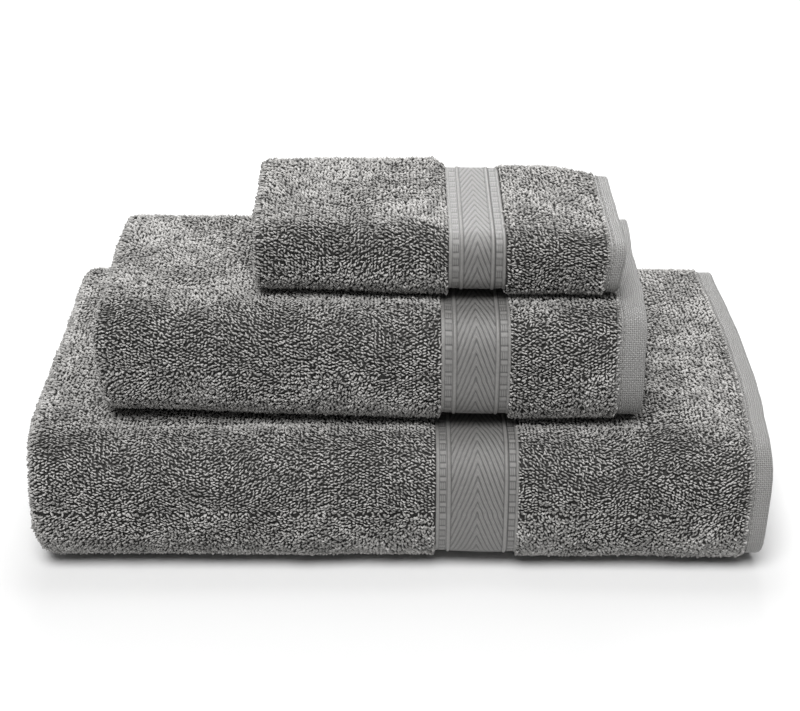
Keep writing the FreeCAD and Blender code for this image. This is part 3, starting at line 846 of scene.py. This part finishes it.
def bump(tree, shader, height, distance):
    """Relief from a height between 0 and 1, so many metres deep."""
    node = tree.nodes.new("ShaderNodeBump")
    node.inputs["Distance"].default_value = distance
    node.inputs["Strength"].default_value = 1.0
    tree.links.new(height, node.inputs["Height"])
    tree.links.new(node.outputs[0], shader.inputs["Normal"])


def marked(tree, name):
    """The named numbers that make_mesh gave to each point."""
    node = tree.nodes.new("ShaderNodeAttribute")
    node.attribute_name = name
    return node.outputs["Fac"]


def cloth_place(tree):
    """The place in the cloth, in metres along and across it."""
    node = tree.nodes.new("ShaderNodeUVMap")
    node.uv_map = "cloth"
    return node.outputs[0]


def terry_ground(mottle):
    """The towel's ground cloth: painted shade between the loops that stand on it, looped by bump where none
    do.
    """
    material, tree, shader = fabric("terry_ground", GREY_YARN)
    place = cloth_place(tree)
    factor = place_group(tree, mottle, place, Scale=MOTTLE_SCALE, Amount=0.35)["Factor"]
    curls = tree.nodes.new("ShaderNodeTexVoronoi")
    curls.inputs["Scale"].default_value = CURL_SCALE
    tree.links.new(place, curls.inputs["Vector"])
    # painted shade: where loops stand, the ground goes to the near-black shade colour that fills the gaps
    # between them
    tint(tree, shader, GREY_YARN, SHADED_GROUND, marked(tree, "cover"), factor)
    bump(tree, shader, math_node(tree, "SUBTRACT", 1.0, curls.outputs["Distance"]), 0.9 * MM)
    return material


def woven(name, colour, dark, groups, threads, height, groove=None):
    """A flat weave of so many threads a metre, with painted shade in its gaps and in the marked grooves."""
    weave, mottle = groups
    material, tree, shader = fabric(name, colour, sheen=0.15, roughness=0.43, specular=0.9)
    place = cloth_place(tree)
    factor = place_group(tree, mottle, place, Scale=MOTTLE_SCALE, Amount=0.3)["Factor"]
    threads_along, threads_across = threads
    grid = place_group(tree, weave, place, Threads_Along=threads_along, Threads_Across=threads_across)
    # painted shade: the weave's gaps, and the marked grooves, go towards the dark colour
    shade = math_node(tree, "POWER", grid["Gap"], 0.5)
    if groove:
        shade = math_node(tree, "MAXIMUM", math_node(tree, "MULTIPLY", shade, 0.25), marked(tree, groove))
    tint(tree, shader, colour, dark, shade, factor)
    bump(tree, shader, grid["Height"], height)
    return material


# The second colour of each of the next three pairs is painted shade: between the terry loops, in the hem
# weave's gaps, and in the border's grooves.
GREY_YARN, SHADED_GROUND = (0.30, 0.294, 0.284), (0.05, 0.049, 0.047)
HEM_GREY, HEM_GAP_SHADE = (0.30, 0.295, 0.287), (0.06, 0.058, 0.056)
DOBBY_GREY, DOBBY_GROOVE_SHADE = (0.225, 0.22, 0.212), (0.025, 0.024, 0.023)
THREAD_GREY = (0.36, 0.355, 0.345)
LOOP_TONES = {"shaded": (0.29, 0.285, 0.277), "middle": (0.405, 0.398, 0.386), "light": (0.53, 0.521, 0.508)}
MOTTLE_SCALE, CURL_SCALE = 700, 720  # features a metre
HEM_THREADS, DOBBY_THREADS = (1050, 1050), (2000, 1600)  # threads a metre, along and across

# ---------------- the set

groups = weave_group(), mottle_group()
ground = terry_ground(groups[1])
hem_cloth = woven("hem_weave", HEM_GREY, HEM_GAP_SHADE, groups, HEM_THREADS, 0.4 * MM)
dobby = woven("dobby_weave", DOBBY_GREY, DOBBY_GROOVE_SHADE, groups, DOBBY_THREADS, 0.12 * MM, "groove")
thread = fabric("stitching_thread", THREAD_GREY)[0]
loop_yarns = [fabric(f"terry_yarn_{tone}", colour, sheen=0.08)[0] for tone, colour in LOOP_TONES.items()]

# For each towel: the order of its plies from the hemmed end, its flat width and length, and whether its
# second hem shows. Under and load are the towels below and above it. In millimetres, lift is how far it puffs
# up left of the border, from the border on, and at the right end. Spread is how far its ends lean out above,
# at the left, and at the right by the front, the middle and the back. Skew is how far its front lies askew.
# Counts is the steps of the cloth's grid in each leg, and spacing its step along the towel, in metres.
SET = {
    "bath_towel": {
        "order": (1, 4, 3, 2), "flat": (0.76, 1.37), "second_hem": True,
        "under": None, "load": "hand_towel", "seed": 11,
        "lift": (2.0, 1.0, 1.5), "spread": (4.0, 0.6, 4.8, 2.2), "skew": 0.6,
        "counts": (20, 14, 20, 10, 12, 8, 20), "spacing": 15 * MM,
    },
    "hand_towel": {
        "order": (1, 3, 2), "flat": (0.46, 0.76), "second_hem": False,
        "under": "bath_towel", "load": "washcloth", "seed": 47,
        "lift": (1.6, 0.6, 1.0), "spread": (-0.8, 0.8, 2.5, 4.5), "skew": 3.4,
        "counts": (13, 14, 13, 10, 9, 8, 13), "spacing": 14 * MM,
    },
    "washcloth": {
        "order": (1, 2), "flat": (0.33, 0.33), "second_hem": True,
        "under": "hand_towel", "load": None, "seed": 83,
        "lift": (2.8, -1.2, -6.0), "spread": (0.0, 2.4, 3.0, 3.4), "skew": 2.5,
        "counts": (12, 12, 12, 8, 8, 8, 12), "spacing": 8 * MM,
    },
}
CLOTH_NODES = ("field", "left_fold", "right_fold", "header", "inner_plies", "side_hems")


def make_towel(name, design):
    """All the pieces of one towel, which ride on its body and stand for its nodes."""
    towel = Towel(name, *(design[key] for key in ("order", "lift", "spread", "skew", "load", "seed")))
    cloth = make_cloth(towel, design["counts"], design["spacing"], [ground, hem_cloth])
    loops = make_loops(towel, loop_yarns)
    border = make_border(towel, [dobby])
    hem = make_hem(towel, f"{name}_hem", towel.right, towel.hem_recess + HEM_THICKNESS / 2, [hem_cloth])
    stitches = make_stitches(towel, [thread])
    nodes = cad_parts
    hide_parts(*(f"{name}_{part}" for part in CLOTH_NODES if f"{name}_{part}" in nodes))
    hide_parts(f"{name}_dobby_border", f"{name}_border_cords")
    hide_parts(f"{name}_end_hem")
    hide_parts(f"{name}_hem_thread")
    pieces = {cloth: "terry", border: "dobby_weave", hem: "hem_weave", stitches: "thread"}
    pieces.update({piece: "terry" for piece in loops})
    if design["second_hem"]:
        edge = towel.right - SECOND_HEM_INSET
        second = make_hem(towel, f"{name}_second_hem", edge, 1.5 * towel.ply, [hem_cloth])
        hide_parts(f"{name}_second_end_hem")
        pieces[second] = "hem_weave"
    for piece, slot in pieces.items():
        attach(piece, name)


for name, design in SET.items():
    make_towel(name, design)

# ---------------- floor, light and camera

FLOOR_HALF = 90
WHITE = (1, 1, 1, 1)
PALE = (0.76, 0.76, 0.76)
SKY_LIGHT, SKY_SEEN = 0.16, 0.84  # the sky's soft light, and what makes it look white to the camera
KEY_POWER, KEY_SPREAD, KEY_TURN = 3.3, math.radians(34), (math.radians(25), math.radians(-6), 0)
FOCAL_LENGTH, SENSOR_WIDTH = 77.15, 36
CAMERA_PLACE, CAMERA_TURN = (0.00105, -0.759, 0.4732), (math.radians(61.48), 0, 0)

floor_mesh = bpy.data.meshes.new("floor")
corners = [(x * FLOOR_HALF, y * FLOOR_HALF, 0) for x, y in ((-1, -1), (1, -1), (1, 1), (-1, 1))]
floor_mesh.from_pydata(corners, [], [(0, 1, 2, 3)])
floor = bpy.data.objects.new("floor", floor_mesh)
bpy.context.scene.collection.objects.link(floor)
floor_mesh.materials.append(fabric("pale_floor", PALE)[0])


def area_light(name, power, size, place, aim):
    """A square soft light at a place, turned to face a point."""
    light = bpy.data.lights.new(name, "AREA")
    light.energy, light.size = power, size
    lamp = bpy.data.objects.new(name, light)
    lamp.location = place
    lamp.rotation_euler = Vector(np.subtract(aim, place)).to_track_quat("-Z", "Y").to_euler()
    bpy.context.scene.collection.objects.link(lamp)


area_light("overhead", power=1.9, size=0.4, place=(0.02, 0.2, 0.62), aim=(0, 0, 0.1))
area_light("back", power=20, size=1.2, place=(0.0, 1.9, 0.95), aim=(0, 0, 0.05))

sun = bpy.data.lights.new("key", "SUN")
sun.energy, sun.angle = KEY_POWER, KEY_SPREAD
key = bpy.data.objects.new("key", sun)
key.rotation_euler = KEY_TURN
bpy.context.scene.collection.objects.link(key)

world = bpy.data.worlds.new("studio")
world.use_nodes = True
sky = world.node_tree.nodes["Background"]
sky.inputs["Color"].default_value = WHITE
rays = world.node_tree.nodes.new("ShaderNodeLightPath")
seen = math_node(world.node_tree, "MULTIPLY", rays.outputs["Is Camera Ray"], SKY_SEEN)
world.node_tree.links.new(math_node(world.node_tree, "ADD", seen, SKY_LIGHT), sky.inputs["Strength"])
bpy.context.scene.world = world
bpy.context.scene.view_settings.view_transform = "Standard"

lens = bpy.data.cameras.new("camera")
lens.lens, lens.sensor_width = FOCAL_LENGTH, SENSOR_WIDTH
camera = bpy.data.objects.new("camera", lens)
camera.location = CAMERA_PLACE
camera.rotation_euler = CAMERA_TURN
bpy.context.scene.collection.objects.link(camera)
bpy.context.scene.camera = camera
